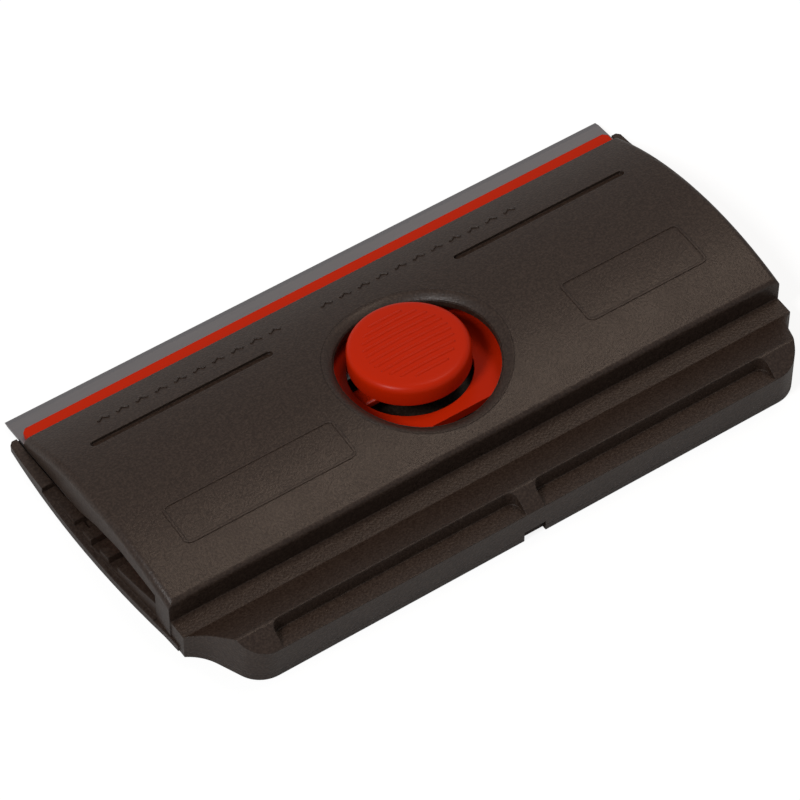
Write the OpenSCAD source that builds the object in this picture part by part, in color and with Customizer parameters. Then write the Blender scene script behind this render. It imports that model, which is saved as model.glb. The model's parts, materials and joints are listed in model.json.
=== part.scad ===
// Ceramic hob scraper: a flat two-part shell that holds a sliding blade carrier with a
// press-to-release thumb button. X runs along the blade, +Y points forward to its edge,
// and the tool lies on its underside at z = 0.

/* [Blade] */
// Length of the blade, across the tool
blade_len = 100; // [80:1:130]
// Depth of the blade, from its back to its edge
blade_depth = 18; // [16:0.5:19]
// Thickness of the blade
blade_t = 0.5; // [0.3:0.05:0.6]
// Width of the ground bevel along the edge
blade_bevel = 0.9; // [0.4:0.1:1.5]
// How far the edge stands out past the red strip
blade_out = 3.6; // [2.5:0.1:4]
// Distance of the two locating pegs from the middle
peg_x = 32; // [22:1:38]
// Radius of the locating pegs
peg_r = 1.4; // [1:0.1:1.8]

/* [Slide] */
// Lean of the sliding plane, down to the front
slide_angle = 6; // [5:0.25:6.5]
// Travel of the carrier, from blade out to blade in
slide_travel = 4.2; // [3.6:0.1:4.3]
// Running clearance of the sliding faces
slide_gap = 0.12; // [0.08:0.01:0.2]

/* [Carrier] */
// Distance of the red strip's front edge ahead of the button hole's middle line
strip_ahead = 24.65; // [24:0.05:25.5]
// Height of the strip's front edge
strip_h = 2.3; // [2.2:0.05:2.5]
// Thickness of the strip over the blade
strip_t = 0.9; // [0.7:0.05:1]
// Depth of the strip, which is wider than the plate behind it
strip_depth = 3.2; // [2.5:0.1:4]
// How much shorter than the blade the strip is at each end
strip_short = 0.7; // [0.4:0.1:1.2]
// Distance of the plate's rear edge behind the middle line
plate_back = 8.5; // [8:0.1:9]
// How far the plate's outer parts reach behind its rear edge
plate_ear = 0.9; // [0.6:0.1:1]
// How much narrower than the blade the plate's flanks are at each end
flank_short = 3.4; // [3:0.1:4]
// Depth of the side tab near the plate's rear corner
tab_depth = 2.5; // [1.5:0.1:3]
// Distance of the side tab's rear face behind the middle line
tab_back = 6.5; // [6:0.1:7]

/* [Button] */
// Radius of the thumb cap
cap_r = 8.7; // [8:0.1:9.2]
// Distance of the cap's middle ahead of the hole's middle line
cap_ahead = 2.74; // [2.5:0.02:2.9]
// Height of the cap's lower edge over the plate
cap_low = 1.8; // [1.6:0.1:2.2]
// Height of the cap's side wall
cap_side = 3.2; // [2.4:0.1:3.4]
// Rise of the cap's dome
cap_dome = 0.5; // [0.3:0.05:0.8]
// Wall thickness of the hollow cap
cap_wall = 1.1; // [0.9:0.1:1.3]
// Pitch of the ribs on the cap
rib_pitch = 1.4; // [1:0.1:2]
// Number of ribs on the cap
rib_count = 9; // [5:1:11]
// Width of each rib
rib_w = 0.4; // [0.25:0.05:0.6]
// Height of the ribs
rib_h = 0.2; // [0.1:0.05:0.35]
// Radius of the ribbed patch
rib_field_r = 6.4; // [5:0.1:7]
// Travel of the button when pressed
press_travel = 1.2; // [0.9:0.05:1.2]
// Radius of the button's stem
stem_r = 2.5; // [2:0.1:3]
// Running clearance of the stem in its bore
stem_gap = 0.08; // [0.04:0.01:0.1]
// Radius of the stem screw's shank
stem_screw_r = 0.8; // [0.6:0.05:1]
// Radius of the stem screw's head
stem_head_r = 1.9; // [1.6:0.1:2.2]

/* [Lock] */
// Width of the lock bar, front to back
bar_w = 3.1; // [2.6:0.1:3.3]
// Thickness of the lock bar
bar_t = 0.88; // [0.7:0.02:0.95]
// Width of the locking tooth under each end of the bar
tooth_w = 1.6; // [1.2:0.1:1.8]
// Depth that the tooth drops into the rail
tooth_bite = 0.8; // [0.5:0.05:0.9]
// Play of the tooth in its notch, at each side
tooth_play = 0.3; // [0.2:0.05:0.4]
// Distance of the bar's two supports from the middle
support_x = 22; // [19:0.1:22.3]

/* [Keeper] */
// Thickness of the keeper plate
keeper_t = 0.6; // [0.4:0.05:0.65]
// Depth of the keeper plate, front to back
keeper_depth = 8.3; // [7.5:0.1:8.5]
// How far the keeper reaches over the blade from its back
keeper_over = 4.9; // [4.4:0.1:5.2]
// Width of the keeper's arms under the lock bar
arm_w = 7; // [5:0.5:8]
// Distance of the keeper's screws from the middle
keeper_screw_x = 14; // [12:0.5:18]
// Radius of the keeper screws' shanks
keeper_screw_r = 0.8; // [0.6:0.05:1]
// Radius of the keeper screws' heads
keeper_head_r = 1.6; // [1.3:0.1:1.9]
// Thickness of the keeper screws' heads
keeper_head_t = 0.65; // [0.5:0.05:0.7]

/* [Shell] */
// Wall thickness of both shells
wall_t = 1.6; // [1.4:0.05:1.7]
// Distance of the upper shell's front lip ahead of the middle line
lip_ahead = 22.4; // [21.5:0.1:22.8]
// Height of the lip's top edge
lip_h = 3.2; // [3.1:0.05:3.5]
// Distance of the ridge behind the middle line
ridge_back = 15.5; // [15.4:0.1:16.5]
// Height of the arch at the ridge
ridge_h = 8.15; // [8:0.05:8.6]
// Radius of the arch, front to back
arch_r = 50.5; // [46:0.5:56]
// Rounding of the arch's two ends
end_round = 1.1; // [0.6:0.1:1.5]
// Rounding of the ridge
ridge_round = 0.9; // [0.4:0.1:1.2]
// Height of the grip panel at its foot, under the ridge
panel_h = 4.35; // [4:0.05:4.6]
// Distance of the panel's foot corner behind the middle line
panel_back = 18.6; // [18:0.1:19.5]
// Distance of the rear crest behind the middle line
crest_back = 24.7; // [24.2:0.1:25.4]
// Height of the rear crest
crest_h = 7.75; // [7.2:0.05:8.2]
// Rounding of the rear crest
crest_round = 0.7; // [0.3:0.1:1]
// Distance of the rear edge behind the middle line
rear_back = 28; // [27.6:0.1:28.8]
// Height of the rear wall, under the sloped shoulder
shoulder_h = 5.6; // [5.2:0.05:5.9]
// Half length of the straight rear edge
rear_flat = 41.2; // [36:0.2:41.6]
// Radius of the rear corners
corner_r = 4.6; // [3.6:0.1:4.8]
// Height of the seam between the shells at the rear
seam_h = 1.1; // [0.9:0.05:1.2]
// Thickness of the lower shell's end walls where its bowed sides are widest
end_wall_t = 1.9; // [1.6:0.05:2.2]
// Radius of the lower shell's bowed sides
bow_r = 167; // [140:1:220]
// Distance of the widest place of the bowed sides ahead of the middle line
bow_at = 9.5; // [7:0.5:12]
// Height of the end walls at their front
wall_front_h = 0.95; // [0.8:0.05:1.2]
// Height of the end walls' rear end
wall_foot_h = 2.3; // [2:0.05:2.4]
// Distance of the end walls' rear end ahead of the middle line
wall_foot = 14.5; // [13.5:0.1:16]
// Clearance of the blade's ends in the lower shell
blade_side_gap = 0.25; // [0.15:0.05:0.4]

/* [Shell details] */
// Radius of the dished recess round the button
dish_r = 13.3; // [12.6:0.1:14]
// Depth of the dished recess
dish_depth = 0.9; // [0.5:0.05:1.1]
// How far the thicker ring under the dish stands in from the roof
ring_drop = 0.3; // [0.2:0.05:0.5]
// Radius of the button's hole
hole_r = 11.6; // [11.5:0.05:12]
// Distance of the hole's middle ahead of the middle line
hole_ahead = 0.5; // [0.3:0.05:0.6]
// Distance of the top grooves ahead of the middle line
groove_ahead = 13.7; // [13:0.1:15]
// Distance of the top grooves' inner ends from the middle
groove_in = 15.2; // [14:0.1:20]
// Distance of the top grooves' outer ends from the middle
groove_out = 44.4; // [35:0.1:45]
// Width of the top grooves
groove_w = 1.25; // [0.8:0.05:1.6]
// Depth of the top grooves
groove_depth = 0.5; // [0.3:0.05:0.7]
// Distance of the finger slots' inner ends from the middle
slot_in = 1.5; // [1:0.1:4]
// Distance of the finger slots' outer ends from the middle
slot_out = 40.3; // [30:0.1:41]
// Distance of the finger slots' front walls behind the middle line
slot_front = 24.9; // [24.7:0.05:25.4]
// Height of the finger slots' floor at its front
slot_floor = 5.3; // [5:0.05:5.5]
// Radius of the finger slots' front corners
slot_round = 1.3; // [0.8:0.1:1.6]
// Distance of the end windows' front ends ahead of the middle line
window_ahead = 7.5; // [6.5:0.1:9]
// Distance of the end windows' rear ends behind the middle line
window_back = 12; // [11:0.1:12.4]
// Distance behind a window's front end of the knee in its top edge
window_knee = 4.5; // [4:0.1:5]
// Distance behind a window's front end where it has its full height
window_rise = 10.5; // [9.5:0.1:11]
// Height of the end windows' rear part
window_h = 6.5; // [6:0.05:6.7]
// Width of the pry notch in the rear edge
notch_w = 3.5; // [2:0.1:5]
// Depth of the pry notch
notch_depth = 0.7; // [0.4:0.05:0.9]
// Thickness of the ribs inside the shells
inner_rib_t = 1.2; // [0.8:0.05:1.4]
// Distance of the inner hold-down ribs from the middle
rib_in_x = 18.2; // [17.6:0.1:19]
// Distance of the outer hold-down ribs from the middle
rib_out_x = 36; // [34:0.5:40]
// How far the castellated rails reach in from the shell's ends
rail_w = 3; // [2:0.1:3.2]
// How far the rails' outer faces stand in from the bowed sides
rail_inset = 0.8; // [0.6:0.05:1.2]
// Distance of the rails' front ends ahead of the middle line
rail_ahead = 12; // [11:0.1:13]

/* [Shell screws] */
// Distance of the middle screws from the middle
mid_screw_x = 28; // [27:0.5:30]
// Distance of the middle screws behind the middle line
mid_screw_back = 6; // [5.9:0.05:6.1]
// Distance of the rear screws from the middle
rear_screw_x = 36; // [30:0.5:38]
// Distance of the rear screws behind the middle line
rear_screw_back = 22.5; // [22:0.1:23]
// Radius of the shell screws' shanks
screw_r = 0.9; // [0.7:0.05:1]
// Radius of the shell screws' heads
head_r = 2; // [1.7:0.1:2.2]
// Thickness of the shell screws' heads
head_t = 1.3; // [1:0.05:1.4]
// Length of the shell screws under their heads
screw_len = 3.4; // [2.8:0.1:3.5]
// Radius of the upper shell's screw posts
post_r = 2.1; // [1.9:0.05:2.1]
// Height of the lower shell's screw bosses
boss_h = 2.6; // [2.4:0.05:2.8]

/* [Hidden] */
$fn = 64;

body_color = "#2d2522";
red_color = "#c42a10";
blade_color = "#8b9094";
steel_color = "#b4b8bb";

// A cut reaches this far past what it cuts
over = 3;
// Two faces that lie still against each other stay this far apart
seat_gap = 0.02;
// Clearance of a screw in its hole
screw_gap = 0.05;
// Clearance round a sliding piece, in the plane
side_gap = 0.15;
// Height that clears all of the tool
tall = 30;

blade_half = blade_len / 2;
shell_half = blade_half + blade_side_gap - 0.05;
lower_half = blade_half + blade_side_gap + end_wall_t;
strip_half = blade_half - strip_short;
blade_back = blade_depth - blade_out;
keeper_set = blade_back - keeper_over;
plate_half = shell_half - wall_t - side_gap;
flank_half = blade_half - flank_short;

// The plate carries the blade in a pocket under its front, flush with its underside
plate_t = strip_t + blade_t + seat_gap;
keeper_top = -plate_t - seat_gap;
keeper_low = keeper_top - keeper_t;

// Height of the sliding plane at a place along Y, and the distance along that plane
function plane_z(y) = strip_h + (strip_ahead - y) * tan(slide_angle);
function along(y) = (y - strip_ahead) / cos(slide_angle);

// Centre of the arch, found from the lip, the ridge and the radius
lip = [lip_ahead, lip_h];
ridge = [-ridge_back, ridge_h];
chord = norm(lip - ridge);
chord_up = [ridge.y - lip.y, lip.x - ridge.x] / chord;
arch_c = (lip + ridge) / 2 - chord_up * sqrt(arch_r * arch_r - chord * chord / 4);
hole_tilt = asin((hole_ahead - arch_c.x) / arch_r);

// Plan of the grip's end: a hollow curve runs in from the panel's corner, then a straight
// flank and a round corner lead to the rear edge
flare_angle = 60;
flank_angle = 25;
flare_at = [shell_half - 0.2, -panel_back];
corner_c = [rear_flat, -rear_back + corner_r];
corner_at = corner_c + corner_r * [cos(flank_angle), -sin(flank_angle)];
flare_dx = flare_at.x - corner_at.x;
flare_dy = flare_at.y - corner_at.y;
hollow_x = cos(flank_angle) - cos(flare_angle);
hollow_y = sin(flare_angle) - sin(flank_angle);
hollow_det = hollow_x * cos(flank_angle) - hollow_y * sin(flank_angle);
hollow_r = (flare_dx * cos(flank_angle) - flare_dy * sin(flank_angle)) / hollow_det;
hollow_c = flare_at + hollow_r * [cos(flare_angle), -sin(flare_angle)];

// Button stack, measured up from the plate's top face
bar_top = -plate_t + bar_t + seat_gap;
bar_low = bar_top - bar_t;
tooth_low = -plate_t - 0.55 - tooth_bite;
rail_top = tooth_low + tooth_bite;
hub_low = 0.3;
hub_r = 4.6;
hub_t = 0.9;
cap_ceiling = cap_low + cap_side + cap_dome - cap_wall;
collar_r = stem_r + 1.2;
collar_top = cap_ceiling - press_travel - 0.2;
ring_r = cap_r + 0.15;
cap_u = along(cap_ahead) - (cap_low + cap_side) * tan(slide_angle);
bar_reach = flank_half + 1.8;
bar_block = 3;

// Rails at the ends of the lower shell
rail_in = shell_half - 0.3 - rail_w;
guide_x = rail_in - 1.1;
notch_gap = tooth_w + 2 * tooth_play;
bar_clear = side_gap + 0.1;

front_y = strip_ahead - 0.25;

// A block between two corners
module block(from, to) {
    translate(from) cube(to - from);
}

// Both sides of the tool
module pair() {
    for (side = [0, 1]) mirror([side, 0, 0]) children();
}

// The carrier's own axes: Y along the sliding plane, Z square to it, from the strip's front edge
module in_slide() {
    translate([0, strip_ahead, strip_h]) rotate([-slide_angle, 0, 0]) children();
}

// A profile in Y and Z, drawn across the whole tool
module across(half) {
    rotate([90, 0, 90]) translate([0, 0, -half]) linear_extrude(2 * half) children();
}

// A slot outline along X with round ends
module stadium(x0, x1, w) {
    translate([x0 + w / 2, -w / 2]) square([x1 - x0 - w, w]);
    translate([x0 + w / 2, 0]) circle(d = w);
    translate([x1 - w / 2, 0]) circle(d = w);
}

// The arch as a round bar that lies along X, with its two ends rounded
module arch_form(r, half, round_r) {
    translate([0, arch_c.x, arch_c.y]) rotate([0, 90, 0]) rotate_extrude($fn = 180) {
        translate([0, -half]) square([r - round_r, 2 * half]);
        translate([0, round_r - half]) square([r, 2 * (half - round_r)]);
        translate([r - round_r, half - round_r]) circle(round_r);
        translate([r - round_r, round_r - half]) circle(round_r);
    }
}

// Corner of the ridge that is taken away to round it
module ridge_corner() {
    inner = arch_r - ridge_round;
    cy = -ridge_back + ridge_round;
    cz = arch_c.y + sqrt(inner * inner - pow(cy - arch_c.x, 2));
    on_arch = arch_c + ([cy, cz] - arch_c) * arch_r / inner;
    difference() {
        polygon([[-ridge_back - over, cz], [cy, cz], on_arch, [on_arch.x, cz + over],
                 [-ridge_back - over, cz + over]]);
        translate([cy, cz]) circle(ridge_round);
    }
}

// Half plan of the grip, inset from the outer faces
module grip_plan(inset) {
    steps = 12;
    hollow = [for (i = [0:steps]) let (a = flare_angle + (flank_angle - flare_angle) * i / steps)
              hollow_c - (hollow_r + inset) * [cos(a), -sin(a)]];
    corner = [for (i = [0:steps]) let (a = flank_angle + (90 - flank_angle) * i / steps)
              corner_c + (corner_r - inset) * [cos(a), -sin(a)]];
    half = concat([[0, 0], [shell_half - inset, 0], [hollow[0].x, hollow[0].y + 0.01]], hollow, corner,
                  [[0, -rear_back + inset]]);
    intersection() {
        polygon(half);
        translate([0, -rear_back]) square([shell_half - inset, rear_back]);
    }
}

// Outer form of the grip behind the ridge
module grip_form() {
    slope = [crest_back - panel_back, crest_h - panel_h];
    intersection() {
        across(shell_half) difference() {
            polygon([[-ridge_back + 0.5, 0], [-ridge_back + 0.5, panel_h], [-panel_back, panel_h],
                     [-crest_back, crest_h], [-rear_back, shoulder_h], [-rear_back, 0]]);
            crest_corner(slope);
        }
        linear_extrude(tall) {
            grip_plan(0);
            mirror([1, 0]) grip_plan(0);
        }
    }
}

// Corner of the crest that is taken away to round it
module crest_corner(slope) {
    rise = atan2(slope.y, slope.x);
    fall = atan2(crest_h - shoulder_h, rear_back - crest_back);
    turn = (rise + fall) / 2;
    lean = (fall - rise) / 2;
    reach = crest_round / cos(turn);
    centre = [-crest_back - reach * sin(-lean) * -1, crest_h - reach * cos(lean)];
    up_front = centre + crest_round * [sin(rise), cos(rise)];
    up_back = centre + crest_round * [-sin(fall), cos(fall)];
    difference() {
        polygon([centre, up_front, up_front + [0, over], up_back + [0, over], up_back]);
        translate(centre) circle(crest_round);
    }
}

// Space inside the upper shell
module shell_space() {
    inner_half = shell_half - wall_t;
    under_slots = slot_floor - wall_t + 0.3;
    intersection() {
        arch_form(arch_r - wall_t, inner_half, 0.5);
        block([-shell_half, -ridge_back + wall_t, -over], [shell_half, lip_ahead + over, tall]);
    }
    intersection() {
        across(inner_half) polygon([
            [-ridge_back + wall_t + 0.5, -over], [-ridge_back + wall_t + 0.5, panel_h - wall_t],
            [-panel_back - 0.3, panel_h - wall_t], [-crest_back + wall_t + 0.6, under_slots],
            [-rear_back + wall_t, under_slots], [-rear_back + wall_t, -over]]);
        translate([0, 0, -over]) linear_extrude(tall) {
            grip_plan(wall_t);
            mirror([1, 0]) grip_plan(wall_t);
        }
    }
}

// Everything that lies under the upper shell's lower edges
module under_shell() {
    low_front = strip_t - 0.15;
    across(shell_half + over) polygon([
        [lip_ahead + over, -over], [lip_ahead + over, plane_z(lip_ahead + over) - low_front],
        [window_ahead, plane_z(window_ahead) - low_front], [window_ahead - window_knee, plane_z(window_ahead) + 1],
        [window_ahead - window_rise, window_h], [-window_back, window_h], [-window_back, seam_h],
        [-rear_back - over, seam_h], [-rear_back - over, -over]]);
}

// The mouth at the front, where the carrier and the strip slide in under the roof
module mouth() {
    in_slide() {
        block([-plate_half - side_gap, -strip_ahead, -tall], [plate_half + side_gap, over, slide_gap]);
        block([-strip_half - side_gap, -slide_travel - strip_depth - 0.3, -tall],
              [strip_half + side_gap, over, slide_gap]);
    }
}

// A straight way square to the arch at the button's hole
module at_hole() {
    translate([0, arch_c.x, arch_c.y]) rotate([-hole_tilt, 0, 0]) children();
}

// Outer walls of the upper shell, hollow and open at the front
module shell_walls() {
    difference() {
        union() {
            difference() {
                intersection() {
                    arch_form(arch_r, shell_half, end_round);
                    block([-shell_half, -ridge_back, 0], [shell_half, lip_ahead, tall]);
                }
                across(shell_half + over) ridge_corner();
            }
            grip_form();
        }
        shell_space();
        mouth();
    }
}

module upper_housing() {
    color(body_color) difference() {
        union() {
            difference() {
                union() {
                    shell_walls();
                    hold_down_ribs();
                    hole_ring();
                }
                under_shell();
            }
            posts();
        }
        dish();
        at_hole() cylinder(r = hole_r, h = arch_r + over);
        top_grooves();
        finger_slots();
        pry_notch();
        post_holes();
    }
}

// Ribs under the roof that hold the carrier down on its guides
module hold_down_ribs() {
    intersection() {
        arch_form(arch_r - wall_t / 2, shell_half - wall_t, 0.5);
        pair() in_slide() for (x = [rib_in_x, rib_out_x])
            block([x - inner_rib_t / 2, along(-plate_back), slide_gap],
                  [x + inner_rib_t / 2, along(groove_ahead), tall]);
    }
}

// Thicker ring under the dish
module hole_ring() {
    intersection() {
        difference() {
            arch_form(arch_r - wall_t / 2, shell_half, 0.5);
            arch_form(arch_r - wall_t - ring_drop, shell_half + over, 0.5);
        }
        at_hole() cylinder(r = dish_r + 1.2, h = arch_r + over);
    }
}

// Posts for the shell screws
module posts() {
    intersection() {
        arch_form(arch_r - wall_t / 2, shell_half, 0.5);
        pair() translate([mid_screw_x, -mid_screw_back, boss_h]) cylinder(r = post_r, h = tall);
    }
    intersection() {
        grip_form();
        pair() translate([rear_screw_x, -rear_screw_back, boss_h]) cylinder(r = post_r + 0.5, h = tall);
    }
}

module post_holes() {
    for (at = [[mid_screw_x, -mid_screw_back], [rear_screw_x, -rear_screw_back]])
        pair() translate([at.x, at.y, 0]) cylinder(r = screw_r + screw_gap, h = head_top() + screw_len + 0.3);
}

// Dished recess whose floor follows the arch
module dish() {
    intersection() {
        difference() {
            arch_form(arch_r + over, shell_half, 0.5);
            arch_form(arch_r - dish_depth, shell_half + over, 0.5);
        }
        at_hole() cylinder(r = dish_r, h = arch_r + over);
    }
}

module top_grooves() {
    intersection() {
        difference() {
            arch_form(arch_r + over, shell_half, 0.5);
            arch_form(arch_r - groove_depth, shell_half + over, 0.5);
        }
        pair() translate([0, groove_ahead, 0]) linear_extrude(tall) stadium(groove_in, groove_out, groove_w);
    }
}

// Finger slots sunk from above, open at the shoulder
module finger_slots() {
    depth = rear_back - slot_front;
    rise = atan2(slot_floor - shoulder_h, depth);
    pair() translate([0, -rear_back, shoulder_h]) rotate([rise, 0, 0]) linear_extrude(tall) {
        translate([slot_in + slot_round, -over]) square([slot_out - slot_in - 2 * slot_round, depth + over]);
        translate([slot_in, -over]) square([slot_out - slot_in, depth + over - slot_round]);
        for (x = [slot_in + slot_round, slot_out - slot_round]) translate([x, depth - slot_round]) circle(slot_round);
    }
}

module pry_notch() {
    block([-notch_w / 2, -rear_back - over, -over], [notch_w / 2, -rear_back + notch_depth, seam_h + 0.8]);
}

function head_top() = head_t + 0.15;

// Plan of the lower shell, whose bowed sides stand out past the upper one, half of it
module lower_plan() {
    steps = 14;
    rear_y = 1.3 - panel_back;
    corner = 0.5;
    side = [for (i = [0:steps - 1]) let (y = front_y - corner + (rear_y - front_y + corner) * i / steps)
            [lower_half - bow_r + sqrt(bow_r * bow_r - pow(y - bow_at, 2)), y]];
    polygon(concat([[0, front_y], [side[0].x - corner, front_y]], side,
                   [[shell_half, rear_y], [0, rear_y]]));
    grip_plan(0);
}

module lower_housing() {
    color(body_color) difference() {
        union() {
            linear_extrude(seam_h) {
                lower_plan();
                mirror([1, 0]) lower_plan();
            }
            pair() end_wall();
            pair() rail();
            pair() carrier_guides();
            for (at = [[mid_screw_x, -mid_screw_back], [rear_screw_x, -rear_screw_back]])
                pair() translate(at) cylinder(r = head_r + 1, h = boss_h);
        }
        in_slide() block([-blade_half - blade_side_gap, -strip_ahead, -plate_t - side_gap],
                         [blade_half + blade_side_gap, over, tall]);
        for (at = [[mid_screw_x, -mid_screw_back], [rear_screw_x, -rear_screw_back]]) pair() translate(at) {
            translate([0, 0, -over]) cylinder(r = head_r + screw_gap, h = over + head_top());
            cylinder(r = screw_r + screw_gap, h = boss_h + over);
        }
        keeper_screw_tracks();
        pry_notch();
    }
}

// Shallow tracks in the floor under the keeper screws' heads
module keeper_screw_tracks() {
    reach = keeper_head_r + side_gap;
    low = keeper_low - keeper_head_t - side_gap;
    pair() in_slide() block([keeper_screw_x - reach, keeper_screw_u() - slide_travel - reach, low],
                            [keeper_screw_x + reach, keeper_screw_u() + reach, 0]);
}

// End wall: a wedge beside the mouth, then a low sill under the window
module end_wall() {
    wall_in = lower_half - end_wall_t - 0.4;
    intersection() {
        linear_extrude(tall) lower_plan();
        union() {
            block([wall_in, -window_back, 0], [lower_half + over, front_y, seam_h + 0.2]);
            translate([wall_in, 0, 0]) rotate([90, 0, 90]) linear_extrude(over) polygon([
                [wall_foot, 0], [wall_foot, wall_foot_h], [front_y, wall_front_h], [front_y, 0]]);
        }
    }
}

// Castellated rail whose notches take the lock bar's teeth
module rail() {
    difference() {
        intersection() {
            block([rail_in, -window_back + 0.2, 0], [lower_half, rail_ahead, tall]);
            translate([-rail_inset, 0, 0]) linear_extrude(tall) lower_plan();
        }
        in_slide() block([0, -2 * strip_ahead, rail_top], [lower_half, over, tall]);
        for (i = [-1:1]) in_slide() translate([0, cap_u + i * slide_travel, 0])
            block([0, -notch_gap / 2, rail_top - tooth_bite - 0.4], [lower_half, notch_gap / 2, tall]);
    }
}

// Ribs that the carrier's plate slides on, clear of the lock bar's path
module carrier_guides() {
    bar_y = strip_ahead + cap_u * cos(slide_angle) + bar_low * sin(slide_angle);
    bar_front = bar_y + bar_w / 2 + bar_clear;
    bar_back = bar_y - bar_w / 2 - slide_travel - bar_clear;
    difference() {
        for (span = [[bar_front, rail_ahead - 2], [-window_back + 0.2, bar_back]])
            block([guide_x - inner_rib_t / 2, span[0], 0], [guide_x + inner_rib_t / 2, span[1], tall]);
        in_slide() block([0, -2 * strip_ahead, -plate_t - slide_gap], [lower_half, over, tall]);
    }
}

// A pan-head screw that points up, with its head's top face at z = 0
module pan_screw(shank_r, shank_len, pan_r, pan_t) {
    cylinder(r = shank_r, h = shank_len);
    difference() {
        translate([0, 0, -pan_t]) {
            translate([0, 0, 0.25]) cylinder(r = pan_r, h = pan_t - 0.25);
            cylinder(r1 = pan_r - 0.25, r2 = pan_r, h = 0.25);
        }
        for (turn = [0, 90]) rotate(turn)
            translate([-pan_r * 0.55, -0.2, -pan_t - over]) cube([pan_r * 1.1, 0.4, over + pan_t * 0.45]);
    }
}

module housing_screws() {
    color(steel_color) for (at = [[mid_screw_x, -mid_screw_back], [rear_screw_x, -rear_screw_back]])
        pair() translate([at.x, at.y, head_top() - seat_gap]) pan_screw(screw_r, screw_len, head_r, head_t);
}

// Plan of the carrier's plate in its own axes, half of it
module plate_plan() {
    rear = along(-plate_back);
    ear = plate_ear;
    ear_x = dish_r + 2;
    wide_back = along(groove_ahead + 1.5);
    polygon([[0, 0], [strip_half - 0.6, 0], [strip_half, -0.6], [strip_half, -strip_depth],
             [plate_half, -strip_depth], [plate_half, wide_back], [flank_half, wide_back],
             [flank_half, rear - ear], [ear_x, rear - ear], [ear_x - ear, rear], [0, rear]]);
    translate([0, along(-tab_back)]) square([plate_half, tab_depth]);
}

module blade_carrier() {
    post_u = along(-mid_screw_back);
    post_room = post_r + 2 * side_gap;
    color(red_color) in_slide() difference() {
        union() {
            difference() {
                translate([0, 0, -plate_t]) linear_extrude(plate_t) {
                    plate_plan();
                    mirror([1, 0]) plate_plan();
                }
                translate([0, cap_u, -plate_t - over]) cylinder(r = ring_r, h = tall);
                blade_pocket();
            }
            hub();
            pair() translate([keeper_screw_x, keeper_screw_u(), -plate_t / 2]) cylinder(r = 2.1, h = plate_t / 2 + 1.1);
            pair() translate([peg_x, peg_u(), keeper_low]) cylinder(r = peg_r, h = -keeper_low - strip_t / 2);
        }
        bar_room();
        pair() translate([mid_screw_x, 0, -plate_t - over]) linear_extrude(tall) hull() {
            translate([0, post_u]) circle(post_room);
            translate([0, post_u + slide_travel]) circle(post_room);
        }
        pair() translate([keeper_screw_x, keeper_screw_u(), -plate_t - over])
            cylinder(r = keeper_screw_r + screw_gap, h = plate_t + over + 0.7);
        translate([0, cap_u, -plate_t - over]) cylinder(r = stem_r + stem_gap, h = tall);
    }
}

function peg_u() = -keeper_set - 2.3;
function keeper_screw_u() = -keeper_set - keeper_depth + 2.2;

// Pocket under the strip that the blade lies in
module blade_pocket() {
    block([-blade_half - over, blade_out - blade_depth - 0.1, -plate_t - over], [blade_half + over, over, -strip_t]);
}

// Hub and tongue that guide the button's stem
module hub() {
    translate([0, cap_u, hub_low]) {
        cylinder(r = hub_r, h = hub_t);
        cylinder(r = collar_r, h = collar_top - hub_low);
    }
    difference() {
        block([-hub_r + 0.4, cap_u + stem_r, -0.6], [hub_r - 0.4, cap_u + ring_r + 0.6, cap_low - press_travel - 0.15]);
        translate([0, cap_u, -over]) cylinder(r = stem_head_r + 0.9, h = over + hub_low);
    }
}

// Channel for the lock bar under the plate, open above where the bar's ends rise
module bar_room() {
    half_w = bar_w / 2 + bar_clear;
    translate([0, cap_u, 0]) {
        block([-plate_half - over, -half_w, -plate_t - over], [plate_half + over, half_w, bar_top + seat_gap]);
        pair() block([support_x + arm_w / 2, -half_w, -plate_t - over], [plate_half + over, half_w, tall]);
    }
}

module blade() {
    hole_r1 = peg_r + 0.15;
    low = -strip_t - seat_gap / 2 - blade_t;
    color(blade_color) in_slide() difference() {
        translate([0, 0, low]) across(blade_half) polygon([
            [blade_out - blade_depth, 0], [blade_out - blade_depth, blade_t],
            [blade_out - blade_bevel, blade_t], [blade_out, blade_t / 2 + 0.03],
            [blade_out, blade_t / 2 - 0.03], [blade_out - blade_bevel, 0]]);
        pair() translate([peg_x, peg_u(), low - over]) cylinder(r = hole_r1, h = 2 * over);
    }
}

module blade_keeper() {
    keeper_half = guide_x - inner_rib_t / 2 - 0.7;
    front = -keeper_set;
    color(steel_color) in_slide() difference() {
        translate([0, 0, keeper_low]) linear_extrude(keeper_t) {
            translate([-keeper_half, front - keeper_depth]) square([2 * keeper_half, keeper_depth]);
            for (x = [-support_x, support_x])
                translate([x - arm_w / 2, cap_u - bar_w / 2 - 1.6]) square([arm_w, front - cap_u + bar_w / 2]);
        }
        pair() translate([peg_x, peg_u(), keeper_low - over]) cylinder(r = peg_r + 0.1, h = 2 * over);
        pair() translate([keeper_screw_x, keeper_screw_u(), keeper_low - over])
            cylinder(r = keeper_screw_r + screw_gap, h = 2 * over);
    }
}

module keeper_screws() {
    color(steel_color) in_slide() pair()
        translate([keeper_screw_x, keeper_screw_u(), keeper_low - seat_gap])
            pan_screw(keeper_screw_r, keeper_t + plate_t + 0.5, keeper_head_r, keeper_head_t);
}

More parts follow.
